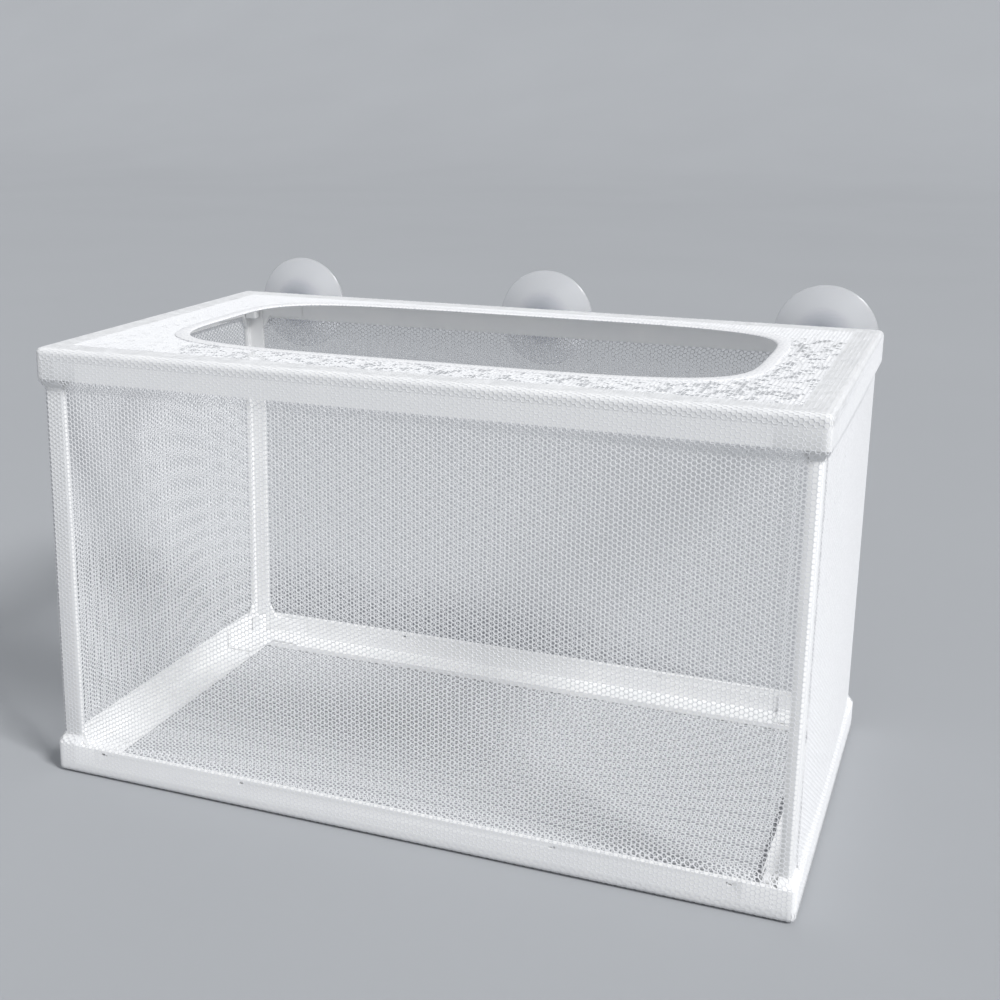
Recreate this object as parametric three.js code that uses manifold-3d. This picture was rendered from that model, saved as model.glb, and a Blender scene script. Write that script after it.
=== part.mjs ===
// Fish breeding box: a net bag over a frame of plastic angle strips, held to the glass by suction cups.
// Millimetres, +Z up, origin under the middle of the frame, front towards -Y, cups towards +Y.

import * as THREE from "three";
import { mergeVertices } from "three/addons/utils/BufferGeometryUtils.js";
import { RoundedBoxGeometry } from "three/addons/geometries/RoundedBoxGeometry.js";
import Module from "manifold-3d";

const wasm = await Module();
wasm.setup();

// Overall size over the net
const boxLength = 260;
const boxDepth = 150;
const boxHeight = 155;

// Clearance between pieces that touch, and how far a cutter runs past its surface
const fitGap = 0.3;
const cutOverrun = 2;

// Net
const netThickness = 0.5;
const netPitch = 27;
const topNetPitch = 13.5;
const netThread = 2.2;
const netSlant = 4;

// Rims: the rails and corner pieces at the top and at the base
const stripWall = 1.5;
const rimHeight = 10.2;
const topShelf = 9;
const baseShelf = 13;
const edgeRound = 2;

// Posts: an angle with a wide and a narrow leg
const postWideLeg = 7.4;
const postNarrowLeg = 3.6;
const postWall = 1.5;
const postRound = 1;

// Corner pieces
const cornerReach = 15;
const tongueLength = 12;
const tongueWall = 1.3;
const tongueMargin = 1;
const pegSize = 4.4;
const pegHeight = 10;
const gussetWidth = 3;
const gussetHeight = 5;

// Small slots in the long base rails, where a thread ties the net down
const tieEndOffset = 20;
const tieInnerShare = 0.5;
const tieSlotWidth = 2;
const tieSlotHeight = 1;
const tieSlotDrop = 1.5;

// Opening in the top net: a rounded rectangle with slightly bowed sides, and its distances from the box
const openingSideBorder = 30.3;
const openingFrontBorder = 28;
const openingBackBorder = 20;
const openingBow = 4.4;
const hemWidth = 4.5;
const hemThickness = 0.9;

// Suction cups and the sockets that hold their heads
const cupEndOffset = 22;
const cupRadius = 19;
const cupLipWidth = 0.8;
const cupLipHeight = 0.5;
const cupHeight = 7.4;
const cupHollow = 3.8;
const cupShoulderRadius = 6;
const cupShoulderHeight = 0.8;
const headRadius = 3.4;
const headLength = 2;
const neckRadius = 2.2;
const neckGap = 0.4;
const cupStandOff = 0.6;
const socketRadius = 4.9;
const socketLip = 1;

// Facet counts
const roundSegments = 3;
const openingSegments = 72;
const cupSegments = 32;

// Derived places
const netCover = netThickness + fitGap;
const frameLength = boxLength - 2 * netCover;
const frameDepth = boxDepth - 2 * netCover;
const frameHeight = boxHeight - 2 * netCover;
const postInset = stripWall + fitGap;
const rimBand = netCover + rimHeight;
const socketDepth = fitGap + headLength + fitGap + socketLip;
const socketDrop = socketRadius;
const cupNames = ["left", "middle", "right"];
const cupSpacing = (boxLength - 2 * cupEndOffset) / (cupNames.length - 1);
const tieOuterOffset = boxLength / 2 - tieEndOffset;
const tieInnerOffset = tieInnerShare * tieOuterOffset;
const openingLength = boxLength - 2 * openingSideBorder;
const openingWidth = boxDepth - openingFrontBorder - openingBackBorder;
const openingShift = (openingFrontBorder - openingBackBorder) / 2;

const unitX = new THREE.Vector3(1, 0, 0);
const unitY = new THREE.Vector3(0, 1, 0);
const unitZ = new THREE.Vector3(0, 0, 1);

// Materials
function whitePlastic() {
  return new THREE.MeshStandardMaterial({ color: 0xf1f1ef, roughness: 0.5, metalness: 0 });
}

function whiteNet() {
  return new THREE.MeshStandardMaterial({ color: 0xeff0f4, roughness: 0.8, metalness: 0 });
}

function clearRubber() {
  return new THREE.MeshStandardMaterial({ color: 0xc9cbd8, roughness: 0.25, metalness: 0 });
}

// Solids and booleans
function solidOf(geometry) {
  const bare = geometry.clone();
  bare.deleteAttribute("normal");
  bare.deleteAttribute("uv");
  const merged = mergeVertices(bare);
  return new wasm.Manifold(
    new wasm.Mesh({
      numProp: 3,
      vertProperties: merged.attributes.position.array,
      triVerts: new Uint32Array(merged.index.array),
    }),
  );
}

function geometryOf(solid) {
  const mesh = solid.getMesh();
  const geometry = new THREE.BufferGeometry();
  geometry.setAttribute("position", new THREE.BufferAttribute(mesh.vertProperties, mesh.numProp));
  geometry.setIndex(new THREE.BufferAttribute(mesh.triVerts, 1));
  geometry.computeVertexNormals();
  return geometry;
}

function joined(geometries) {
  return geometries.map(solidOf).reduce((whole, next) => whole.add(next));
}

function boxBetween(a, b) {
  const low = a.clone().min(b);
  const size = a.clone().max(b).sub(low);
  const middle = low.add(size.clone().multiplyScalar(0.5));
  return new THREE.BoxGeometry(size.x, size.y, size.z).translate(middle.x, middle.y, middle.z);
}

// Extrudes an outline along an axis, centred on zero. Outlines lie in YZ for X, in XZ for Y, in XY for Z.
function extrudeAlong(axis, outline, length) {
  const geometry = new THREE.ExtrudeGeometry(outline, {
    depth: length,
    bevelEnabled: false,
    curveSegments: roundSegments,
  });
  geometry.translate(0, 0, -length / 2);
  const bases = {
    x: [unitY, unitZ, unitX],
    y: [unitX, unitZ, unitY.clone().negate()],
    z: [unitX, unitY, unitZ],
  };
  return geometry.applyMatrix4(new THREE.Matrix4().makeBasis(...bases[axis]));
}

function outlineOf(points) {
  return new THREE.Shape(points.map(([across, up]) => new THREE.Vector2(across, up)));
}

function cylinderAlongY(radius, length, segments) {
  return new THREE.CylinderGeometry(radius, radius, length, segments);
}

function meshOf(name, geometry, material) {
  const mesh = new THREE.Mesh(geometry, material);
  mesh.name = name;
  return mesh;
}

// L-section with its outer corner at zero, one leg down and one leg across
function angleSection(legDown, legAcross, wall, round) {
  const section = new THREE.Shape();
  section.moveTo(0, -legDown);
  section.lineTo(0, -round);
  section.absarc(round, -round, round, Math.PI, Math.PI / 2, true);
  section.lineTo(legAcross, 0);
  section.lineTo(legAcross, -wall);
  section.lineTo(wall, -wall);
  section.lineTo(wall, -legDown);
  return section;
}

// A rail runs along X. Its outer faces are at y = 0, facing -Y, and at z = 0, facing +Z.
function railSolid(rimSide, shelf) {
  const length = rimSide - 2 * (cornerReach + fitGap);
  return solidOf(extrudeAlong("x", angleSection(rimHeight, shelf, stripWall, edgeRound), length));
}

// Slots through the upright leg, near its free edge
function tieSlots() {
  const depth = stripWall + 2 * cutOverrun;
  const places = [tieInnerOffset, tieOuterOffset].flatMap((offset) => [-offset, offset]);
  const slots = places.map((x) => {
    const slot = new THREE.BoxGeometry(tieSlotWidth, depth, tieSlotHeight);
    return slot.translate(x, stripWall / 2, tieSlotDrop - rimHeight);
  });
  return joined(slots);
}

// The socket for a cup's head: a short tube closed by the rail's leg, with a lip round its mouth
function socketSolid() {
  const boreRadius = headRadius + fitGap;
  const mouthRadius = neckRadius + neckGap;
  const root = stripWall / 2;
  const profile = [
    [boreRadius, -root],
    [socketRadius, -root],
    [socketRadius, socketDepth],
    [mouthRadius, socketDepth],
    [mouthRadius, socketDepth - socketLip],
    [boreRadius, socketDepth - socketLip],
    [boreRadius, -root],
  ].map(([radius, along]) => new THREE.Vector2(radius, along));
  const socket = new THREE.LatheGeometry(profile, cupSegments);
  return solidOf(socket.rotateX(Math.PI).translate(0, 0, -socketDrop));
}

function cupOffsets() {
  return cupNames.map((_, index) => (index - (cupNames.length - 1) / 2) * cupSpacing);
}

function withSockets(rail) {
  return cupOffsets().reduce((whole, x) => whole.add(socketSolid().translate([x, 0, 0])), rail);
}

// Corner piece for one corner of a rim, whose outer face is at z = 0 with the rim below it.
// Distances run inwards from the frame's outer faces, and the tongues start where the post's legs end.
function cornerSolid(signX, signY, shelf, [postLegX, postLegY]) {
  const place = (inX, inY, down) =>
    new THREE.Vector3(
      signX * (frameLength / 2 - inX),
      signY * (frameDepth / 2 - inY),
      -down,
    );
  const block = (inX, inY, down) =>
    boxBetween(place(inX[0], inY[0], down[0]), place(inX[1], inY[1], down[1]));

  const root = stripWall / 2;
  const startX = postInset + postLegX + fitGap;
  const startY = postInset + postLegY + fitGap;
  const tongueEnd = cornerReach + tongueLength;
  const tongueInner = postInset + tongueWall;
  const tongueDrop = rimHeight - tongueMargin;
  const shelfReach = shelf - tongueMargin;
  const pegStart = postInset + postWall + fitGap;
  const pegEnd = pegStart + pegSize;

  const shell = [
    block([0, stripWall], [0, cornerReach], [0, rimHeight]),
    block([0, cornerReach], [0, stripWall], [0, rimHeight]),
    block([0, shelf], [0, cornerReach], [0, stripWall]),
    block([0, cornerReach], [0, shelf], [0, stripWall]),
  ];
  const tongues = [
    block([startX, tongueEnd], [postInset, tongueInner], [postInset, tongueDrop]),
    block([startX, tongueEnd], [postInset, shelfReach], [postInset, tongueInner]),
    block([postInset, tongueInner], [startY, tongueEnd], [postInset, tongueDrop]),
    block([postInset, shelfReach], [startY, tongueEnd], [postInset, tongueInner]),
  ];
  const roots = [
    block([startX, cornerReach], [root, tongueInner], [root, tongueDrop]),
    block([startX, cornerReach], [root, shelfReach], [root, tongueInner]),
    block([root, tongueInner], [startY, cornerReach], [root, tongueDrop]),
    block([root, shelfReach], [startY, cornerReach], [root, tongueInner]),
  ];
  const peg = [block([pegStart, pegEnd], [pegStart, pegEnd], [root, pegHeight])];

  const gussetRoot = tongueDrop - tongueWall;
  const gusset = (sign, half, start) =>
    outlineOf([
      [sign * (half - start), -gussetRoot],
      [sign * (half - start), -(rimHeight + gussetHeight)],
      [sign * (half - start - gussetWidth), -tongueDrop],
      [sign * (half - start - gussetWidth), -gussetRoot],
    ]);
  const gussetMiddle = postInset + tongueWall / 2;
  const gussets = [
    extrudeAlong("y", gusset(signX, frameLength / 2, startX), tongueWall).translate(
      0,
      signY * (frameDepth / 2 - gussetMiddle),
      0,
    ),
    extrudeAlong("x", gusset(signY, frameDepth / 2, startY), tongueWall).translate(
      signX * (frameLength / 2 - gussetMiddle),
      0,
      0,
    ),
  ];

  const envelope = new RoundedBoxGeometry(
    frameLength,
    frameDepth,
    frameHeight,
    roundSegments,
    edgeRound,
  ).translate(0, 0, -frameHeight / 2);
  const bracket = joined([...shell, ...tongues, ...roots, ...peg, ...gussets]);
  return bracket.intersect(solidOf(envelope));
}

// The four sides of the frame, seen from above: the turn that faces a strip outwards, and its place
const sides = {
  front: { turn: 0, x: 0, y: -1, along: frameLength },
  back: { turn: Math.PI, x: 0, y: 1, along: frameLength },
  left: { turn: -Math.PI / 2, x: -1, y: 0, along: frameDepth },
  right: { turn: Math.PI / 2, x: 1, y: 0, along: frameDepth },
};

// The four corners, with the turn of a strip there, and which way the wide leg of its post runs
const corners = {
  front_left: { x: -1, y: -1, turn: Math.PI / 2, wide: "x" },
  front_right: { x: 1, y: -1, turn: Math.PI, wide: "y" },
  back_right: { x: 1, y: 1, turn: -Math.PI / 2, wide: "y" },
  back_left: { x: -1, y: 1, turn: 0, wide: "x" },
};

// Widths of a post's legs along X and along Y
function postLegs(corner) {
  return corners[corner].wide === "x"
    ? [postWideLeg, postNarrowLeg]
    : [postNarrowLeg, postWideLeg];
}

// The base rim is a top rim turned over about X, so its front and back change places.
function worldName(name, turnedOver) {
  if (!turnedOver) return name;
  const swapped = { front: "back", back: "front" };
  return name.replace(/front|back/, (word) => swapped[word]);
}

function rim(prefix, shelf, turnedOver, finishRail) {
  const group = new THREE.Group();
  for (const [side, { turn, x, y, along }] of Object.entries(sides)) {
    const name = worldName(side, turnedOver);
    const rail = finishRail(name, railSolid(along, shelf));
    const mesh = meshOf(`${prefix}_rail_${name}`, geometryOf(rail), whitePlastic());
    mesh.rotation.z = turn;
    mesh.position.set((x * frameLength) / 2, (y * frameDepth) / 2, 0);
    group.add(mesh);
  }
  for (const [corner, { x, y }] of Object.entries(corners)) {
    const name = worldName(corner, turnedOver);
    const solid = cornerSolid(x, y, shelf, postLegs(name));
    group.add(meshOf(`${prefix}_corner_${name}`, geometryOf(solid), whitePlastic()));
  }
  return group;
}

function topRim() {
  const group = rim("top", topShelf, false, (name, rail) =>
    name === "back" ? withSockets(rail) : rail,
  );
  group.position.z = boxHeight - netCover;
  return group;
}

function baseRim() {
  const group = rim("base", baseShelf, true, (name, rail) =>
    name === "front" || name === "back" ? rail.subtract(tieSlots()) : rail,
  );
  group.rotation.x = Math.PI;
  group.position.z = netCover;
  return group;
}

function posts() {
  const group = new THREE.Group();
  const length = frameHeight - 2 * postInset;
  for (const [corner, { x, y, turn }] of Object.entries(corners)) {
    // Turned into place, the section's leg down runs along X at two corners and along Y at the others.
    const [legX, legY] = postLegs(corner);
    const [legDown, legAcross] = x === y ? [legX, legY] : [legY, legX];
    const section = angleSection(legDown, legAcross, postWall, postRound);
    const mesh = meshOf(`post_${corner}`, extrudeAlong("z", section, length), whitePlastic());
    mesh.rotation.z = turn;
    mesh.position.set(
      x * (frameLength / 2 - postInset),
      y * (frameDepth / 2 - postInset),
      boxHeight / 2,
    );
    group.add(mesh);
  }
  return group;
}

// Six-sided gaps in columns that fill a window round zero. The middle column has a thread at zero.
function gapCentres(width, height, pitch) {
  const columnStep = (pitch * Math.sqrt(3)) / 2;
  const columns = 2 * Math.round((width / columnStep - 1) / 2) + 1;
  const rows = 2 * Math.round(height / (2 * pitch));
  const stepX = width / columns;
  const stepY = height / rows;
  const centres = [];
  for (let column = 0; column < columns; column += 1) {
    const fromMiddle = column - (columns - 1) / 2;
    const staggered = fromMiddle % 2 !== 0;
    const count = staggered ? rows + 1 : rows;
    for (let row = 0; row < count; row += 1) {
      const up = (row - (count - 1) / 2) * stepY;
      centres.push({ across: fromMiddle * stepX, up, stepX, stepY });
    }
  }
  return centres;
}

function gapOutline({ across, up, stepX, stepY }) {
  const halfWidth = (2 * stepX) / 3 - netThread / Math.sqrt(3);
  const halfHeight = stepY / 2 - netThread / 2;
  return outlineOf([
    [across + halfWidth, up],
    [across + halfWidth / 2, up + halfHeight],
    [across - halfWidth / 2, up + halfHeight],
    [across - halfWidth, up],
    [across - halfWidth / 2, up - halfHeight],
    [across + halfWidth / 2, up - halfHeight],
  ]);
}

// The gaps as one cutter, clipped to the window
function gapCutter(axis, width, height, centres) {
  const depth = 2 * (postInset + cutOverrun);
  const gaps = joined(centres.map((centre) => extrudeAlong(axis, gapOutline(centre), depth)));
  const window = outlineOf([
    [-width / 2, -height / 2],
    [width / 2, -height / 2],
    [width / 2, height / 2],
    [-width / 2, height / 2],
  ]);
  return gaps.intersect(solidOf(extrudeAlong(axis, window, 2 * depth)));
}

// A wall of net runs along X with its outer face at y = 0, facing -Y: flat over both rims and
// drawn in to the posts between them.
function wallNetSolid(length) {
  const slantEnd = rimBand + netSlant;
  const outerLine = [
    [0, 0],
    [0, rimBand],
    [postInset, slantEnd],
    [postInset, boxHeight - slantEnd],
    [0, boxHeight - rimBand],
    [0, boxHeight],
  ];
  const innerLine = outerLine.map(([inwards, up]) => [inwards + netThickness, up]).reverse();
  const sheet = extrudeAlong("x", outlineOf([...outerLine, ...innerLine]), length);
  const rightEdge = outerLine.map(([inwards, up]) => [length / 2 - inwards, up]);
  const leftEdge = rightEdge.map(([across, up]) => [-across, up]).reverse();
  const depth = 2 * (postInset + netThickness + cutOverrun);
  const trim = extrudeAlong("y", outlineOf([...rightEdge, ...leftEdge]), depth);
  const windowWidth = length - 2 * (postInset + postWideLeg);
  const windowHeight = boxHeight - 2 * slantEnd;
  const centres = gapCentres(windowWidth, windowHeight, netPitch);
  const cutter = gapCutter("y", windowWidth, windowHeight, centres);
  return solidOf(sheet)
    .intersect(solidOf(trim))
    .subtract(cutter.translate([0, postInset, boxHeight / 2]));
}

function socketHoles() {
  const radius = socketRadius + fitGap;
  const height = boxHeight - netCover - socketDrop;
  return joined(
    cupOffsets().map((x) =>
      cylinderAlongY(radius, 2 * cutOverrun, cupSegments).translate(x, 0, height),
    ),
  );
}

function wallNets() {
  const group = new THREE.Group();
  const lengths = { front: boxLength, back: boxLength, left: frameDepth, right: frameDepth };
  for (const [side, { turn, x, y }] of Object.entries(sides)) {
    const plain = wallNetSolid(lengths[side]);
    const net = side === "back" ? plain.subtract(socketHoles()) : plain;
    const mesh = meshOf(`net_${side}`, geometryOf(net), whiteNet());
    mesh.rotation.z = turn;
    mesh.position.set((x * boxLength) / 2, (y * boxDepth) / 2, 0);
    group.add(mesh);
  }
  return group;
}

function floorNet() {
  const width = frameLength - 2 * baseShelf;
  const height = frameDepth - 2 * baseShelf;
  const sheet = new THREE.BoxGeometry(frameLength, frameDepth, netThickness);
  const cutter = gapCutter("z", width, height, gapCentres(width, height, netPitch));
  const mesh = meshOf("net_floor", geometryOf(solidOf(sheet).subtract(cutter)), whiteNet());
  mesh.position.z = netThickness / 2;
  return mesh;
}

// Outline of the opening, grown outwards by a margin
function openingOutline(margin) {
  const power = 2 / openingBow;
  const points = [];
  for (let step = 0; step < openingSegments; step += 1) {
    const angle = (step / openingSegments) * 2 * Math.PI;
    const cosine = Math.cos(angle);
    const sine = Math.sin(angle);
    const across = Math.sign(cosine) * Math.abs(cosine) ** power;
    const up = Math.sign(sine) * Math.abs(sine) ** power;
    points.push([
      across * (openingLength / 2 + margin),
      openingShift + up * (openingWidth / 2 + margin),
    ]);
  }
  return points;
}

function outsideOpening({ across, up }, margin) {
  const shareX = Math.abs(across) / (openingLength / 2 + margin);
  const shareY = Math.abs(up - openingShift) / (openingWidth / 2 + margin);
  return shareX ** openingBow + shareY ** openingBow > 1;
}

function topNet() {
  const width = frameLength - 2 * topShelf;
  const height = frameDepth - 2 * topShelf;
  const border = hemWidth + netThread;
  const depth = netThickness + 2 * cutOverrun;
  const sheet = new THREE.BoxGeometry(frameLength, frameDepth, netThickness);
  const centres = gapCentres(width, height, topNetPitch).filter((centre) =>
    outsideOpening(centre, border),
  );
  const kept = solidOf(extrudeAlong("z", outlineOf(openingOutline(border)), 2 * depth));
  const opening = solidOf(extrudeAlong("z", outlineOf(openingOutline(hemWidth + fitGap)), depth));
  const gaps = gapCutter("z", width, height, centres).subtract(kept);
  const net = solidOf(sheet).subtract(gaps).subtract(opening);
  const mesh = meshOf("net_top", geometryOf(net), whiteNet());
  mesh.position.z = boxHeight - netThickness / 2;
  return mesh;
}

function openingHem() {
  const band = outlineOf(openingOutline(hemWidth));
  band.holes.push(outlineOf(openingOutline(0)));
  const mesh = meshOf("opening_hem", extrudeAlong("z", band, hemThickness), whiteNet());
  mesh.position.z = boxHeight - hemThickness / 2;
  return mesh;
}

// A cup about its own axis, head end at zero, glass side up the axis
function cupGeometry() {
  const neckStart = headLength;
  const backFace = headLength + fitGap + socketLip + cupStandOff;
  const lipEnd = backFace + cupHeight;
  const slopeHeight = cupHeight - cupShoulderHeight - 2 * cupLipHeight;
  const slopeWidth = cupRadius - cupShoulderRadius;
  const slopeShares = [
    [0.3, 0.36],
    [0.6, 0.62],
    [0.85, 0.86],
  ];
  const hollowRadius = cupRadius - cupLipWidth;
  const hollowShares = [0.85, 0.6, 0.3];
  const headRound = headRadius - neckRadius;
  const points = [
    [0, 0],
    [headRadius - headRound / 2, 0],
    [headRadius, headRound],
    [headRadius, neckStart - headRound / 2],
    [neckRadius, neckStart],
    [neckRadius, backFace],
    [cupShoulderRadius, backFace + cupShoulderHeight],
    ...slopeShares.map(([outShare, upShare]) => [
      cupShoulderRadius + outShare * slopeWidth,
      backFace + cupShoulderHeight + upShare * slopeHeight,
    ]),
    [cupRadius, lipEnd - 2 * cupLipHeight],
    [cupRadius, lipEnd],
    [hollowRadius, lipEnd],
    ...hollowShares.map((share) => [
      share * hollowRadius,
      lipEnd - cupHollow * (1 - share ** 2),
    ]),
    [0, lipEnd - cupHollow],
  ];
  const profile = points.map(([radius, along]) => new THREE.Vector2(radius, along));
  return new THREE.LatheGeometry(profile, cupSegments);
}

function cups() {
  const group = new THREE.Group();
  cupOffsets().forEach((x, index) => {
    const name = `suction_cup_${cupNames[index]}`;
    const mesh = meshOf(name, geometryOf(solidOf(cupGeometry())), clearRubber());
    mesh.position.x = x;
    group.add(mesh);
  });
  group.position.set(0, frameDepth / 2 + fitGap, boxHeight - netCover - socketDrop);
  return group;
}

function breedingBox() {
  const box = new THREE.Group();
  box.add(topRim(), baseRim(), posts());
  box.add(wallNets(), floorNet(), topNet(), openingHem());
  box.add(cups());
  return box;
}

export default breedingBox();
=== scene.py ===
import math
import bpy
import bmesh
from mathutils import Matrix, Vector, noise


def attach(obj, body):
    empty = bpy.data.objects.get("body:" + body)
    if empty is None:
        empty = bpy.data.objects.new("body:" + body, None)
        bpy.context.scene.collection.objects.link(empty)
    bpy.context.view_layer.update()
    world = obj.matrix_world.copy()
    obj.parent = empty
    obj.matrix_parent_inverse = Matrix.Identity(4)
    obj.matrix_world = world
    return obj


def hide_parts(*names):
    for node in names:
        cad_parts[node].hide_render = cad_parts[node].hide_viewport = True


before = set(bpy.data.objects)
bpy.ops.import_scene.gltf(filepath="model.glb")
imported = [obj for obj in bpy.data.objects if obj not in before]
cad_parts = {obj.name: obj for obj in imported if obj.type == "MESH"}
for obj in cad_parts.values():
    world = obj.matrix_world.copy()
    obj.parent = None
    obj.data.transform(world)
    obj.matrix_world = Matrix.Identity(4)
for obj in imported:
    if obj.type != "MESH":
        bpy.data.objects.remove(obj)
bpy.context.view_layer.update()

scene = bpy.context.scene
scene.view_settings.view_transform = "Standard"

# Fish breeding box, in metres. This is where the net bag lies over the frame.
bag = {
    "length": 0.2595,
    "depth": 0.1495,
    "low": 0.0002,
    "top": 0.15475,
    "edgeRound": 0.0020,  # where the net turns over the rims
    "postRound": 0.0011,  # and round the posts between them
    "rimBand": 0.0108,  # height of the plastic rims
    "slant": 0.0038,  # the net slopes in over this height beside a rim
    "drawnIn": 0.0019,  # how far in it lies at the corner posts
    "drawnInMiddle": 0.35,  # share of that halfway between two posts
    "turnUp": 0.004,  # the floor and top nets reach this far down and up the sides
    "wrap": 0.0072,  # the end nets reach this far round the posts
}


def clamp(value, least, most):
    return max(least, min(most, value))


def smoothStep(share):
    share = clamp(share, 0, 1)
    return share * share * (3 - 2 * share)


def overFrame(point, height):
    # takes a point of the plain box to where the net lies: round the edges, and drawn in between the rims
    halfX, halfY = bag["length"] / 2, bag["depth"] / 2
    fromRim = min(point.z - bag["low"], bag["top"] - point.z) - bag["rimBand"]
    offRim = smoothStep(fromRim / bag["slant"])
    bend = bag["edgeRound"] + (bag["postRound"] - bag["edgeRound"]) * offRim
    nearPost = min(abs(point.x) / halfX, abs(point.y) / halfY) ** 2
    pull = bag["drawnIn"] * offRim
    pull *= bag["drawnInMiddle"] + (1 - bag["drawnInMiddle"]) * nearPost
    x, y = point.x * (1 - pull / halfX), point.y * (1 - pull / halfY)
    edgeX, edgeY = halfX - pull - bend, halfY - pull - bend
    inner = Vector((
        clamp(x, -edgeX, edgeX),
        clamp(y, -edgeY, edgeY),
        clamp(point.z, bag["low"] + bend, bag["top"] - bend),
    ))
    return inner + (Vector((x, y, point.z)) - inner).normalized() * (bend + height)


def startFresh():
    if bpy.context.object and bpy.context.object.mode != "OBJECT":
        bpy.ops.object.mode_set(mode="OBJECT")
    bpy.ops.object.select_all(action="DESELECT")


def makeActive(piece):
    startFresh()
    piece.select_set(True)
    bpy.context.view_layer.objects.active = piece


def applyModifiers(piece):
    makeActive(piece)
    for modifier in list(piece.modifiers):
        bpy.ops.object.modifier_apply(modifier=modifier.name)


def finishPiece(piece, body, material, replaced=(), smoothAngle=35):
    makeActive(piece)
    bpy.ops.object.transform_apply(location=True, rotation=True, scale=True)
    bpy.ops.object.shade_smooth_by_angle(angle=math.radians(smoothAngle))
    piece.data.materials.clear()
    piece.data.materials.append(material)
    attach(piece, body)
    if replaced:
        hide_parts(*replaced)
    startFresh()
    return piece


# Camera, at the photograph's place and angle
shot = {
    "place": (0.170278, -0.47654, 0.24243),
    "turn": 0.403,  # to the left, in radians
    "down": 0.251,
    "lens": 53.01,
    "shift": (0.1136, -0.0451),
}


def addCamera():
    data = bpy.data.cameras.new("camera")
    data.lens = shot["lens"]
    data.sensor_width = 36
    data.shift_x, data.shift_y = shot["shift"]
    data.clip_start = 0.01
    camera = bpy.data.objects.new("camera", data)
    camera.location = shot["place"]
    camera.rotation_euler = (math.pi / 2 - shot["down"], 0, shot["turn"])
    scene.collection.objects.link(camera)
    scene.camera = camera


addCamera()
print("camera set")


# Materials
finish = {  # colours, then the sizes of the patterns in waves to the metre, then the relief in metres
    "plastic": {
        "light": (0.85, 0.85, 0.845),
        "dark": (0.81, 0.815, 0.82),
        "roughness": (0.38, 0.56),
        "clouds": 55,
        "rubbing": 400,
        "grain": 2600,
        "relief": (0.12, 0.0001),  # strength and depth
    },
    "net": {
        "light": (0.84, 0.845, 0.86),
        "dark": (0.77, 0.775, 0.795),
        "roughness": 0.75,
        "sheen": 0.15,
        "fibres": 1500,
        "twist": 9000,
        "relief": (0.25, 0.00005),
    },
    "hem": {
        "light": (0.82, 0.82, 0.83),
        # the dark colour is painted shade, darkening the middle of each sunk cell
        "dark": (0.62, 0.63, 0.66),
        "roughness": 0.8,
        "cells": 700,
        "uneven": 0.6,
        "spread": (0.12, 0.45),  # from the threads to the middle of a cell
        "relief": (0.5, 0.0002, True),  # cells sunk
    },
    "rubber": {
        "light": (0.96, 0.965, 0.98),
        # the dark colour is painted shade in the middle of the cup, over its neck and head
        "dark": (0.50, 0.52, 0.58),
        "spread": (0.12, 0.62),  # from the dark middle out, in shares of the cup's radius
        "roughness": (0.14, 0.24),
        "clear": 0.76,
        "bending": 1.42,  # of light
        "haze": 120,
        "ripple": 300,
        "relief": (0.04, 0.0001),
    },
    "table": {
        "light": (0.375, 0.387, 0.405),
        "dark": (0.364, 0.375, 0.393),
        "roughness": 0.9,
        "fibres": 3,
    },
}


def newMaterial(name):
    material = bpy.data.materials.new(name)
    material.use_nodes = True
    nodes = material.node_tree.nodes
    place = nodes.new("ShaderNodeTexCoord")
    return material, nodes, material.node_tree.links, nodes["Principled BSDF"], place.outputs["Object"]


def addNoise(nodes, links, place, scale, detail=3):
    texture = nodes.new("ShaderNodeTexNoise")
    texture.inputs["Scale"].default_value = scale
    texture.inputs["Detail"].default_value = detail
    links.new(place, texture.inputs["Vector"])
    return texture.outputs["Fac"]


def addRamp(nodes, links, factor, low, high, start=0.3, end=0.7):
    ramp = nodes.new("ShaderNodeValToRGB")
    ramp.color_ramp.elements[0].position = start
    ramp.color_ramp.elements[0].color = (*low, 1)
    ramp.color_ramp.elements[1].position = end
    ramp.color_ramp.elements[1].color = (*high, 1)
    links.new(factor, ramp.inputs["Fac"])
    return ramp.outputs["Color"]


def addRange(nodes, links, factor, low, high):
    spread = nodes.new("ShaderNodeMapRange")
    spread.inputs["To Min"].default_value = low
    spread.inputs["To Max"].default_value = high
    links.new(factor, spread.inputs["Value"])
    return spread.outputs["Result"]


def addBump(nodes, links, shader, height, strength, distance, sunk=False):
    bump = nodes.new("ShaderNodeBump")
    bump.invert = sunk
    bump.inputs["Strength"].default_value = strength
    bump.inputs["Distance"].default_value = distance
    links.new(height, bump.inputs["Height"])
    links.new(bump.outputs["Normal"], shader.inputs["Normal"])


def mouldedPlastic():
    look = finish["plastic"]
    material, nodes, links, shader, place = newMaterial("moulded_plastic")
    clouds = addNoise(nodes, links, place, look["clouds"])
    links.new(addRamp(nodes, links, clouds, look["dark"], look["light"]), shader.inputs["Base Color"])
    rubbing = addNoise(nodes, links, place, look["rubbing"])
    links.new(addRange(nodes, links, rubbing, *look["roughness"]), shader.inputs["Roughness"])
    addBump(nodes, links, shader, addNoise(nodes, links, place, look["grain"], 4), *look["relief"])
    return material


def knittedNet():
    look = finish["net"]
    material, nodes, links, shader, place = newMaterial("knitted_net")
    shader.inputs["Roughness"].default_value = look["roughness"]
    shader.inputs["Sheen Weight"].default_value = look["sheen"]
    fibres = addNoise(nodes, links, place, look["fibres"], 4)
    links.new(addRamp(nodes, links, fibres, look["dark"], look["light"]), shader.inputs["Base Color"])
    addBump(nodes, links, shader, addNoise(nodes, links, place, look["twist"], 2), *look["relief"])
    return material


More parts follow.
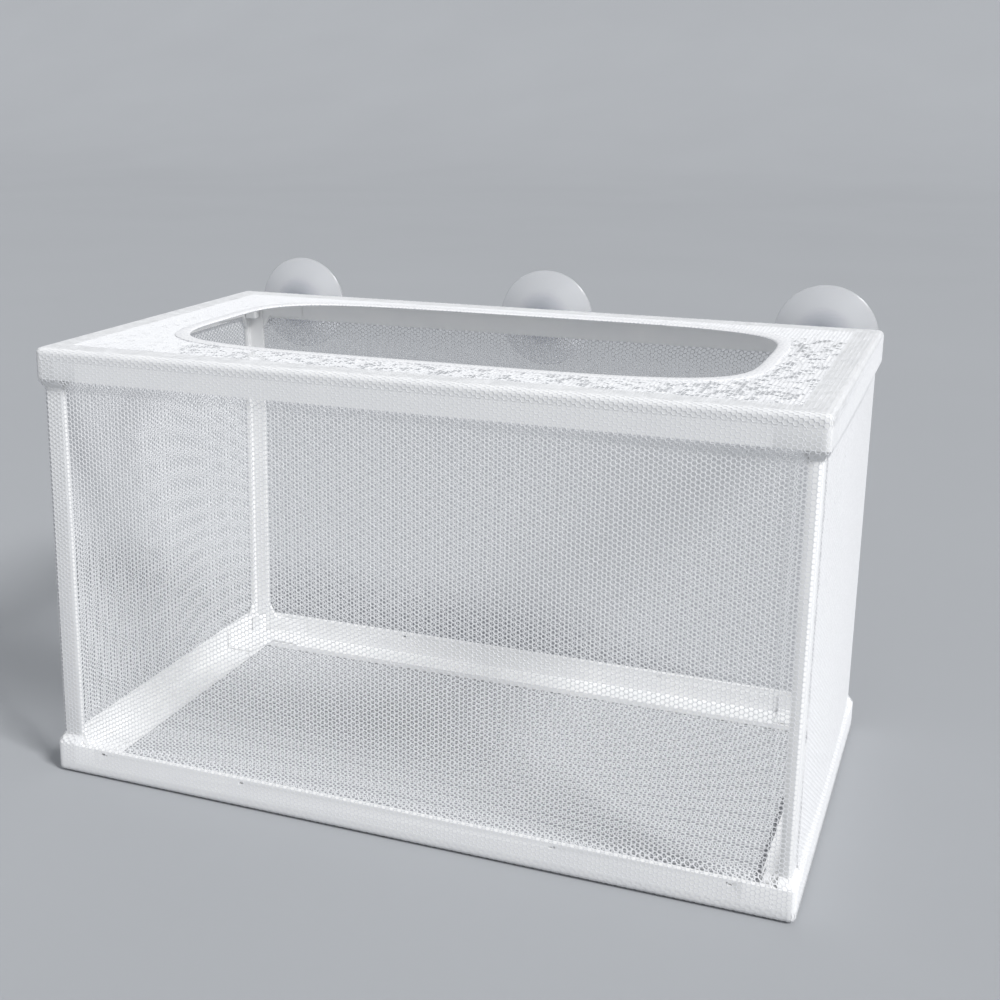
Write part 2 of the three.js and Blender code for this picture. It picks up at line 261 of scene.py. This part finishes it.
def foldedNet():
    # the net doubled over: small closed cells with the threads between them standing proud
    look = finish["hem"]
    material, nodes, links, shader, place = newMaterial("folded_net")
    shader.inputs["Roughness"].default_value = look["roughness"]
    cells = nodes.new("ShaderNodeTexVoronoi")
    cells.feature = "DISTANCE_TO_EDGE"
    cells.inputs["Scale"].default_value = look["cells"]
    cells.inputs["Randomness"].default_value = look["uneven"]
    links.new(place, cells.inputs["Vector"])
    inCell = cells.outputs["Distance"]
    # painted shade: the middle of each sunk cell is darkened, and the threads between the cells stay light
    colour = addRamp(nodes, links, inCell, look["light"], look["dark"], *look["spread"])
    links.new(colour, shader.inputs["Base Color"])
    addBump(nodes, links, shader, inCell, *look["relief"])
    return material


def clearRubber():
    look = finish["rubber"]
    material, nodes, links, shader, place = newMaterial("clear_rubber")
    shader.inputs["Transmission Weight"].default_value = look["clear"]
    shader.inputs["IOR"].default_value = look["bending"]
    ring = nodes.new("ShaderNodeAttribute")
    ring.attribute_name = "outward"
    # painted shade: the cup is darker towards its middle, over the neck and head, and lighter out to the
    # rim
    colour = addRamp(nodes, links, ring.outputs["Fac"], look["dark"], look["light"], *look["spread"])
    links.new(colour, shader.inputs["Base Color"])
    haze = addNoise(nodes, links, place, look["haze"])
    links.new(addRange(nodes, links, haze, *look["roughness"]), shader.inputs["Roughness"])
    addBump(nodes, links, shader, addNoise(nodes, links, place, look["ripple"], 1), *look["relief"])
    return material


plasticLook = mouldedPlastic()
netLook = knittedNet()
hemLook = foldedNet()
rubberLook = clearRubber()
print("materials made")


# Plastic strips, posts and corner pieces
strip = {
    "edgeSoftening": 0.0003,
    "edgeSteps": 2,
    "sharp": 40,  # edges that turn by more degrees than this are softened
    "halfLength": 0.1292,  # outer faces of the rims
    "halfDepth": 0.0742,
    "bottom": 0.0008,
    "top": 0.1542,
    "rimHeight": 0.0102,
    "wall": 0.0015,
    "edgeRound": 0.002,
    "underNet": 0.00015,  # the rims come out to this far under the net
    "postFace": (0.1274, 0.0724),
    "postOut": 0.00025,
    "seam": 0.015,  # from the outer face to the joint between a corner piece and a rail
    "seamClosing": 0.000145,
    "postGaps": (0.0095, 0.0057),  # from there to just past a post's wide or narrow leg
    "postGapClosing": 0.00027,
    "tongueInset": 0.0018,
    "tongueWall": 0.0013,
    "tongueLength": 0.012,
    "tongueTaper": 0.9,  # share of its wall that a tongue loses towards its end
    "nearby": 0.0004,
    "hair": 0.0001,  # what counts as the same level
}
collar = {  # slopes from a corner piece to its post
    "alongWide": 0.0092,  # the wide legs of the posts run along X on the left and along Y on the right
    "alongNarrow": 0.0054,
    "height": 0.0032,
    "thickness": 0.0001,
    "corner": 0.0004,  # comes in this far where the post's own edge is round
}


def isNear(value, target, margin=strip["nearby"]):
    return abs(abs(value) - target) < margin


def isAtSeam(point):
    seamX, seamY = strip["halfLength"] - strip["seam"], strip["halfDepth"] - strip["seam"]
    return isNear(point.x, seamX) or isNear(point.y, seamY)


def meetNet(point):
    # a point on the outside of a rim moves out to the net, and other points stay
    halves = (strip["halfLength"], strip["halfDepth"], (strip["top"] - strip["bottom"]) / 2)
    outer = (bag["length"] / 2, bag["depth"] / 2, (bag["top"] - bag["low"]) / 2)
    middle = Vector((0, 0, (strip["top"] + strip["bottom"]) / 2))
    bend = strip["edgeRound"]
    spot = point - middle
    inner = Vector(clamp(value, bend - half, half - bend) for value, half in zip(spot, halves))
    out = spot - inner
    if out.length < bend - strip["hair"]:
        return point
    out *= bend / max(abs(value) for value in out)
    growth = Vector((far - half) / bend for far, half in zip(outer, halves))
    sharp = inner + out + out * growth
    return overFrame(sharp + middle, -strip["underNet"])


def fitToNet(piece, kind):
    # outer faces meet the net, ends close up at the joints, and the edges that get softened are marked
    mesh = bmesh.from_edit_mesh(piece.data)
    softened = mesh.edges.layers.float.new("bevel_weight_edge")
    for edge in mesh.edges:
        atSeam = kind != "post" and all(isAtSeam(vertex.co) for vertex in edge.verts)
        isSharp = edge.is_manifold and edge.calc_face_angle(0) > math.radians(strip["sharp"])
        edge[softened] = isSharp and not atSeam
    towards = 1 if kind == "rail" else -1
    for vertex in mesh.verts:
        spot = vertex.co.copy()
        if kind != "post":
            vertex.co = meetNet(spot)
        for axis, half in enumerate((strip["halfLength"], strip["halfDepth"])):
            place = spot[axis]
            isAtGap = any(isNear(place, half - gap, strip["hair"] / 2) for gap in strip["postGaps"])
            if kind == "post" and abs(place) > strip["postFace"][axis] - strip["hair"]:
                vertex.co[axis] += math.copysign(strip["postOut"], place)
            elif kind != "post" and isNear(place, half - strip["seam"]):
                vertex.co[axis] += math.copysign(strip["seamClosing"], place) * towards
            elif kind == "corner" and isAtGap:
                vertex.co[axis] += math.copysign(strip["postGapClosing"], place)
    bmesh.update_edit_mesh(piece.data)


def taperTongues(piece):
    # the tongues that slide into the rails thin out towards their ends
    for vertex in piece.data.vertices:
        for axis, half in ((0, strip["halfLength"]), (1, strip["halfDepth"])):
            share = (half - abs(vertex.co[axis]) - strip["seam"]) / strip["tongueLength"]
            if share <= 0.01:
                continue
            otherHalf = strip["halfDepth"] if axis == 0 else strip["halfLength"]
            other = vertex.co[1 - axis]
            across = otherHalf - abs(other) - strip["tongueInset"]
            down = min(vertex.co.z - strip["bottom"], strip["top"] - vertex.co.z) - strip["tongueInset"]
            thinned = strip["tongueTaper"] * min(share, 1)
            reach = strip["tongueWall"] + strip["hair"] / 10
            if 0 < across <= reach:
                vertex.co[1 - axis] += math.copysign(across * thinned, other)
            if 0 < down <= reach:
                vertex.co.z += down * thinned * (-1 if vertex.co.z < strip["top"] / 2 else 1)


def addCollar(piece):
    # the top of the corner's walls grows on, sloping in to the post
    anyPoint = piece.data.vertices[0].co
    isLow = anyPoint.z < strip["top"] / 2
    level = strip["bottom"] + strip["rimHeight"] if isLow else strip["top"] - strip["rimHeight"]
    up = 1 if isLow else -1
    reachX, reachY = collar["alongWide"], collar["alongNarrow"]
    if anyPoint.x > 0:
        reachX, reachY = reachY, reachX
    halfX, halfY = strip["halfLength"], strip["halfDepth"]
    endX = math.copysign(halfX - reachX, anyPoint.x)
    endY = math.copysign(halfY - reachY, anyPoint.y)
    bpy.ops.object.mode_set(mode="EDIT")
    bpy.ops.mesh.select_mode(type="FACE")
    for cut, across in (((endX, 0, 0), (1, 0, 0)), ((0, endY, 0), (0, 1, 0))):
        bpy.ops.mesh.select_all(action="SELECT")
        bpy.ops.mesh.bisect(plane_co=cut, plane_no=across)
    bpy.ops.mesh.select_all(action="DESELECT")
    mesh = bmesh.from_edit_mesh(piece.data)
    for face in mesh.faces:
        spot = face.calc_center_median()
        isTop = face.normal.z * up > 0.99 and abs(spot.z - level) < strip["hair"]
        isCornerWall = abs(spot.x) > abs(endX) and abs(spot.y) > abs(endY)
        face.select_set(isTop and isCornerWall)
    bmesh.update_edit_mesh(piece.data)
    bpy.ops.mesh.extrude_region_move(TRANSFORM_OT_translate={"value": (0, 0, collar["height"] * up)})
    mesh = bmesh.from_edit_mesh(piece.data)
    halfWall = strip["wall"] / 2
    for vertex in mesh.verts:
        if vertex.select:
            isInner = abs(vertex.co.x) < halfX - halfWall and abs(vertex.co.y) < halfY - halfWall
            outwards = (0 if isInner else collar["thickness"]) - strip["wall"]
            mostX, mostY = halfX + outwards, halfY + outwards
            x, y = clamp(vertex.co.x, -mostX, mostX), clamp(vertex.co.y, -mostY, mostY)
            if abs(x) > mostX - halfWall and abs(y) > mostY - halfWall:
                x -= math.copysign(collar["corner"], x)
                y -= math.copysign(collar["corner"], y)
            vertex.co.x, vertex.co.y = x, y
    bmesh.update_edit_mesh(piece.data)
    bpy.ops.object.mode_set(mode="OBJECT")


def softenStrip(node, kind):
    startFresh()
    piece = bpy.data.objects.new("moulded_" + node.name, node.data.copy())
    scene.collection.objects.link(piece)
    makeActive(piece)
    bpy.ops.mesh.customdata_custom_splitnormals_clear()
    bpy.ops.object.mode_set(mode="EDIT")
    bpy.ops.mesh.select_all(action="SELECT")
    bpy.ops.mesh.remove_doubles(threshold=strip["hair"] / 10)
    bpy.ops.mesh.dissolve_limited(angle_limit=math.radians(1))
    fitToNet(piece, kind)
    bpy.ops.object.mode_set(mode="OBJECT")
    bevel = piece.modifiers.new("soft_edges", "BEVEL")
    bevel.width = strip["edgeSoftening"]
    bevel.segments = strip["edgeSteps"]
    bevel.limit_method = "WEIGHT"
    applyModifiers(piece)
    if kind == "corner":
        taperTongues(piece)
        addCollar(piece)
    return finishPiece(piece, "box", plasticLook, (node.name,))


for nodeName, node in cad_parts.items():
    for kind in ("rail", "corner", "post"):
        if kind in nodeName:
            softenStrip(node, kind)
print("plastic frame done")


# Netting: six-sided holes in rows, each with a ring of thread round it that joins its neighbours
netting = {
    "pitch": 0.0016,
    "floorPitch": 0.00173,
    "thread": 0.00037,
    "crown": 0.0002,  # how high the middle of a thread stands over its edges
    "topCrown": 0.00023,
    "uneven": 0.6,  # share by which that height comes and goes
    "onPlastic": 0.4,  # share of it that is left where the net is pressed to a rail or post
    "openPatches": 3.2,  # along the front and right of the top net the holes open and close in patches
    "patches": 420,
    "shelf": 0.0095,  # width of the rails under the top net
    "wander": 0.0002,  # how far the threads stray from straight rows
    "wanderScale": 40,
    "weld": 0.000002,
    "trim": 0.0000001,
    "seed": 5,  # for the straying, which would differ from run to run without one
}
noise.seed_set(netting["seed"])


def pickFaces(piece, rule):
    mesh = bmesh.from_edit_mesh(piece.data)
    for face in mesh.faces:
        face.select_set(rule(face.calc_center_median()))
    bmesh.update_edit_mesh(piece.data)


def knitFlat(name, width, height, crown, isHole=None, pitch=netting["pitch"]):
    arm = pitch / math.sqrt(3)  # from one knot to the next
    startFresh()
    onPoint = (0, 0, math.radians(30))
    bpy.ops.mesh.primitive_circle_add(vertices=6, radius=arm, fill_type="NGON", rotation=onPoint)
    cloth = bpy.context.object
    cloth.name = name
    bpy.ops.object.transform_apply(rotation=True)
    bpy.ops.object.mode_set(mode="EDIT")
    bpy.ops.mesh.select_mode(type="FACE")
    bpy.ops.mesh.select_all(action="SELECT")
    bpy.ops.mesh.inset(thickness=netting["thread"] / 2, depth=-crown)
    bpy.ops.mesh.delete(type="FACE")
    bpy.ops.mesh.select_all(action="SELECT")
    bpy.ops.mesh.duplicate_move(TRANSFORM_OT_translate={"value": (1.5 * arm, pitch / 2, 0)})
    bpy.ops.object.mode_set(mode="OBJECT")
    steps = {"row": (3 * arm, 0, 0), "column": (0, pitch, 0)}
    counts = {"row": math.ceil(width / (3 * arm)) + 2, "column": math.ceil(height / pitch) + 2}
    for direction, step in steps.items():
        rows = cloth.modifiers.new(direction, "ARRAY")
        rows.count = counts[direction]
        rows.use_relative_offset = False
        rows.use_constant_offset = True
        rows.constant_offset_displace = step
    applyModifiers(cloth)
    middle = Vector(((counts["row"] - 0.5) * 3 * arm / 2, (counts["column"] - 0.5) * pitch / 2, 0))
    cloth.location = -middle
    bpy.ops.object.transform_apply(location=True)
    bpy.ops.object.mode_set(mode="EDIT")
    bpy.ops.mesh.select_all(action="SELECT")
    bpy.ops.mesh.remove_doubles(threshold=netting["weld"])
    for x, y in ((1, 0), (-1, 0), (0, 1), (0, -1)):
        edge = (x * width / 2, y * height / 2, 0)
        bpy.ops.mesh.select_all(action="SELECT")
        bpy.ops.mesh.bisect(plane_co=edge, plane_no=(x, y, 0), clear_outer=True, threshold=netting["trim"])
    if isHole:
        bpy.ops.mesh.select_all(action="DESELECT")
        pickFaces(cloth, isHole)
        bpy.ops.mesh.delete(type="FACE")
    bpy.ops.object.mode_set(mode="OBJECT")
    return cloth


def isOnPlastic(spot):
    fromEnd, fromSide = bag["length"] / 2 - abs(spot.x), bag["depth"] / 2 - abs(spot.y)
    fromLevel = min(spot.z - bag["low"], bag["top"] - spot.z)
    if max(fromEnd, fromSide) < netting["shelf"]:
        return True
    return fromLevel < bag["rimBand"] and min(fromEnd, fromSide) < netting["shelf"]


def stretchNet(cloth, onBox, width, height, side, isOpenPart=None, castsShadow=True):
    # onBox says where a point of the flat net goes on the plain box
    flatMap = cloth.data.uv_layers.new(name="flat")
    vertices = cloth.data.vertices
    for loop in cloth.data.loops:
        flat = vertices[loop.vertex_index].co
        flatMap.data[loop.index].uv = (flat.x / width + 0.5, flat.y / height + 0.5)
    for vertex in vertices:
        flat = vertex.co.copy()
        drift = Vector((flat.x * netting["wanderScale"], flat.y * netting["wanderScale"], width * 10))
        stray = noise.noise_vector(drift) * netting["wander"]
        flat.x += stray.x * (1 - abs(flat.x) * 2 / width)
        flat.y += stray.y * (1 - abs(flat.y) * 2 / height)
        change = netting["openPatches"] if isOpenPart and isOpenPart(flat) else netting["uneven"]
        wave = noise.noise(Vector((flat.x, flat.y, width)) * netting["patches"])
        raised = flat.z * max(0, 1 + change * wave)
        spot = onBox(flat.x, flat.y)
        vertex.co = overFrame(spot, raised * (netting["onPlastic"] if isOnPlastic(spot) else 1))
    cloth.visible_shadow = castsShadow
    finishPiece(cloth, "box", netLook, ("net_" + side,), smoothAngle=180)
    print(cloth.name, "stretched,", len(cloth.data.polygons), "faces")


def addLongNets():
    halfY, middle = bag["depth"] / 2, (bag["low"] + bag["top"]) / 2
    width = bag["length"] - 2 * bag["wrap"]
    height = bag["top"] - bag["low"] - 2 * bag["turnUp"]
    for name, side, isHole in (("front", -1, None), ("back", 1, isSocket)):
        def onLongSide(s, t):
            return Vector((-side * s, side * halfY, middle + t))
        cloth = knitFlat(name + "_netting", width, height, netting["crown"], isHole)
        stretchNet(cloth, onLongSide, width, height, name, castsShadow=side > 0)


def isSocket(flat):
    # where the cups' sockets come through the back
    up = flat.y + (bag["low"] + bag["top"]) / 2 - cup["height"]
    return any(math.hypot(flat.x + centre, up) < cup["socket"] for centre in cup["places"])


def addEndNets():
    halfX, halfY, middle = bag["length"] / 2, bag["depth"] / 2, (bag["low"] + bag["top"]) / 2
    width = bag["depth"] + 2 * bag["wrap"]
    height = bag["top"] - bag["low"] - 2 * bag["turnUp"]
    for name, side in (("left", -1), ("right", 1)):
        def onEnd(s, t):
            beyond = max(0, abs(s) - halfY)
            return Vector((side * (halfX - beyond), side * clamp(s, -halfY, halfY), middle + t))
        cloth = knitFlat(name + "_netting", width, height, netting["crown"])
        stretchNet(cloth, onEnd, width, height, name, castsShadow=side < 0)


def onLevel(s, t, level, inwards):
    # a point of the floor or top net, which turns up or down over all four edges
    halfX, halfY = bag["length"] / 2, bag["depth"] / 2
    beyond = max(0, abs(s) - halfX, abs(t) - halfY)
    return Vector((clamp(s, -halfX, halfX), clamp(t, -halfY, halfY), level + inwards * beyond))


def isCorner(flat):
    # the squares that are cut out so that the net can turn over the edges
    return abs(flat.x) > bag["length"] / 2 and abs(flat.y) > bag["depth"] / 2


def addFloorNet():
    width, depth = bag["length"] + 2 * bag["turnUp"], bag["depth"] + 2 * bag["turnUp"]
    cloth = knitFlat("floor_netting", width, depth, 0, isCorner, netting["floorPitch"])

    def onFloor(s, t):
        return onLevel(s, -t, bag["low"], 1)
    stretchNet(cloth, onFloor, width, depth, "floor")


# Feeding opening in the top net, and its folded hem
opening = {
    "halfLength": 0.0997,
    "halfWidth": 0.051,
    "shift": 0.004,
    "power": 4.4,
    "hemWidth": 0.0045,
    "hemThickness": 0.0009,
    "level": 0.155,
    "points": 180,
    "weld": 0.00001,
    "slackFrom": -0.085,  # the net is slack in front of the opening to the right of here
    "endSlack": 0.012,  # and round its right end from this far before it, up to this Y
    "endTo": 0.045,
    "hemSection": [  # once round the fold, out and down, in shares of its width and thickness
        (0.0, -0.5), (0.05, -0.2), (0.16, 0.0), (0.91, 0.0), (0.985, -0.12),
        (1.0, -0.5), (0.985, -0.88), (0.91, -1.0), (0.16, -1.0), (0.05, -0.8),
    ],
}


def openingPoint(share, margin):
    turn = share * 2 * math.pi
    power = 2 / opening["power"]
    across = math.copysign(abs(math.cos(turn)) ** power, math.cos(turn)) * (opening["halfLength"] + margin)
    up = math.copysign(abs(math.sin(turn)) ** power, math.sin(turn)) * (opening["halfWidth"] + margin)
    return across, up + opening["shift"]


def isOpening(flat):
    margin = opening["hemWidth"] * 0.5
    across = abs(flat.x) / (opening["halfLength"] + margin)
    up = abs(flat.y - opening["shift"]) / (opening["halfWidth"] + margin)
    return across ** opening["power"] + up ** opening["power"] < 1


def addHem():
    # an outline, extruded ring by ring round the fold and back to its start
    width, thick, top = opening["hemWidth"], opening["hemThickness"], opening["level"]
    section = opening["hemSection"]
    startFresh()
    bpy.ops.mesh.primitive_circle_add(vertices=opening["points"], radius=0.1, location=(0, 0, top))
    hem = bpy.context.object
    hem.name = "opening_binding"
    bpy.ops.object.transform_apply(location=True)
    bpy.ops.object.mode_set(mode="EDIT")
    bpy.ops.mesh.select_mode(type="VERT")
    for step, (out, down) in enumerate(section + section[:1]):
        if step:
            bpy.ops.mesh.extrude_edges_move()
        middle = opening["shift"] if step else 0

        def turnOf(vertex):
            return math.atan2(vertex.co.y - middle, vertex.co.x)
        mesh = bmesh.from_edit_mesh(hem.data)
        ring = sorted((vertex for vertex in mesh.verts if vertex.select), key=turnOf)
        for index, vertex in enumerate(ring):
            x, y = openingPoint((index + 0.5) / len(ring) - 0.5, out * width)
            vertex.co = (x, y, top + down * thick)
        bmesh.update_edit_mesh(hem.data)
    bpy.ops.mesh.select_all(action="SELECT")
    bpy.ops.mesh.remove_doubles(threshold=opening["weld"])
    bpy.ops.mesh.normals_make_consistent(inside=False)
    bpy.ops.object.mode_set(mode="OBJECT")
    finishPiece(hem, "box", hemLook, ("opening_hem",), smoothAngle=50)
    print("hem done")
    return hem


def isSlack(flat):
    # off the rails, in front of the opening and beyond its right end
    halfX, halfY = strip["halfLength"] - netting["shelf"], strip["halfDepth"] - netting["shelf"]
    onRails = abs(flat.x) > halfX or abs(flat.y) > halfY
    inFront = flat.y < -opening["halfWidth"] + opening["shift"] and flat.x > opening["slackFrom"]
    atRight = flat.x > opening["halfLength"] - opening["endSlack"] and flat.y < opening["endTo"]
    return not onRails and (inFront or atRight)


def isNoTopNet(flat):
    return isCorner(flat) or isOpening(flat)


def addTopNet(hem):
    width, depth = bag["length"] + 2 * bag["turnUp"], bag["depth"] + 2 * bag["turnUp"]
    cloth = knitFlat("top_netting", width, depth, netting["topCrown"], isNoTopNet)

    def onTop(s, t):
        return onLevel(s, t, bag["top"], -1)
    stretchNet(cloth, onTop, width, depth, "top", isSlack)


# Suction cups
cup = {
    "places": (-0.108, 0.0, 0.108),
    "names": ("left", "middle", "right"),
    "height": 0.1493,
    "start": 0.0745,  # the tip of the head, inside the socket
    "socket": 0.0054,
    "radius": 0.019,
    "points": 64,
    "outline": [  # radius and distance from the tip, in millimetres, from the head to the hollow
        (1.2, 0.0), (2.5, 0.05), (3.2, 0.35), (3.4, 0.85), (3.3, 1.4), (2.7, 1.9), (2.25, 2.2),
        (2.2, 3.0), (2.25, 3.7), (3.0, 4.0), (4.6, 4.25), (6.2, 4.7), (8.4, 5.55), (10.8, 6.65),
        (13.2, 7.85), (15.4, 9.0), (17.2, 10.0), (18.4, 10.75), (18.95, 11.1), (18.95, 11.25),
        (18.7, 11.3), (18.2, 11.25), (17.2, 10.95), (15.4, 10.3), (13.0, 9.5), (10.2, 8.75),
        (7.2, 8.15), (4.0, 7.7), (1.2, 7.52),
    ],
}


def addCup(name, centre):
    startFresh()
    firstRadius = cup["outline"][0][0] / 1000
    bpy.ops.mesh.primitive_circle_add(vertices=cup["points"], radius=firstRadius, fill_type="NGON")
    piece = bpy.context.object
    piece.name = "clear_cup_" + name
    piece.data.attributes.new("outward", "FLOAT", "POINT")
    bpy.ops.object.mode_set(mode="EDIT")
    bpy.ops.mesh.select_mode(type="EDGE")
    bpy.ops.mesh.select_all(action="SELECT")
    radius, along = firstRadius, 0.0
    for nextRadius, nextAlong in cup["outline"][1:]:
        bpy.ops.mesh.extrude_edges_move(TRANSFORM_OT_translate={"value": (0, 0, nextAlong / 1000 - along)})
        grow = nextRadius / 1000 / radius
        bpy.ops.transform.resize(value=(grow, grow, 1), center_override=(0, 0, nextAlong / 1000))
        radius, along = nextRadius / 1000, nextAlong / 1000
    bpy.ops.mesh.edge_face_add()
    bpy.ops.mesh.select_all(action="SELECT")
    bpy.ops.mesh.normals_make_consistent(inside=False)
    bpy.ops.object.mode_set(mode="OBJECT")
    for index, vertex in enumerate(piece.data.vertices):
        share = math.hypot(vertex.co.x, vertex.co.y) / cup["radius"]
        piece.data.attributes["outward"].data[index].value = share
    piece.rotation_euler = (-math.pi / 2, 0, 0)
    piece.location = (centre, cup["start"], cup["height"])
    node = "suction_cup_" + name
    finishPiece(piece, "cup_" + name, rubberLook, (node,), smoothAngle=60)
    print(name, "cup done")


addLongNets()
addEndNets()
addFloorNet()
addTopNet(addHem())
for name, centre in zip(cup["names"], cup["places"]):
    addCup(name, centre)


# Table, backdrop and studio light
studio = {
    "level": 0.0,
    "size": 6.0,
    "width": 5,  # times the size
    "bend": 3.2,
    "bendSteps": 24,
    "lamps": {  # where the light comes from, its strength and its softness in degrees
        "key": ((0.66, -0.30, 0.69), 2.96, 16),
        "fill": ((0.35, -0.85, 0.30), 0.32, 50),
        "rear": ((-0.50, 0.76, 0.42), 0.95, 50),
    },
    "ambient": 0.43,
    "sky": (0.93, 0.96, 1),
}


def addTable():
    startFresh()
    size = studio["size"]
    bpy.ops.mesh.primitive_plane_add(size=2 * size, location=(0, 0, studio["level"]))
    table = bpy.context.object
    table.name = "table_sweep"
    bpy.ops.object.mode_set(mode="EDIT")
    bpy.ops.mesh.select_mode(type="EDGE")
    mesh = bmesh.from_edit_mesh(table.data)
    for edge in mesh.edges:
        edge.select_set(all(v.co.y > 0 for v in edge.verts))
    bmesh.update_edit_mesh(table.data)
    bpy.ops.mesh.extrude_edges_move(TRANSFORM_OT_translate={"value": (0, 0, size)})
    bpy.ops.mesh.select_all(action="SELECT")
    bpy.ops.transform.resize(value=(studio["width"], 1, 1), center_override=(0, 0, 0))
    bpy.ops.object.mode_set(mode="OBJECT")
    curve = table.modifiers.new("curve", "BEVEL")
    curve.width = studio["bend"]
    curve.segments = studio["bendSteps"]
    applyModifiers(table)
    bpy.ops.object.shade_smooth()
    look = finish["table"]
    material, nodes, links, shader, place = newMaterial("table_paper")
    shader.inputs["Roughness"].default_value = look["roughness"]
    paper = addNoise(nodes, links, place, look["fibres"], 5)
    links.new(addRamp(nodes, links, paper, look["dark"], look["light"]), shader.inputs["Base Color"])
    table.data.materials.append(material)


def addLamps():
    for name, (aim, strength, softness) in studio["lamps"].items():
        data = bpy.data.lights.new(name, "SUN")
        data.energy = strength
        data.angle = math.radians(softness)
        light = bpy.data.objects.new(name, data)
        light.rotation_euler = Vector(aim).to_track_quat("Z", "Y").to_euler()
        scene.collection.objects.link(light)
    world = bpy.data.worlds.new("studio")
    world.use_nodes = True
    background = world.node_tree.nodes["Background"]
    background.inputs["Color"].default_value = (*studio["sky"], 1)
    background.inputs["Strength"].default_value = studio["ambient"]
    scene.world = world


addTable()
addLamps()
print("studio set")
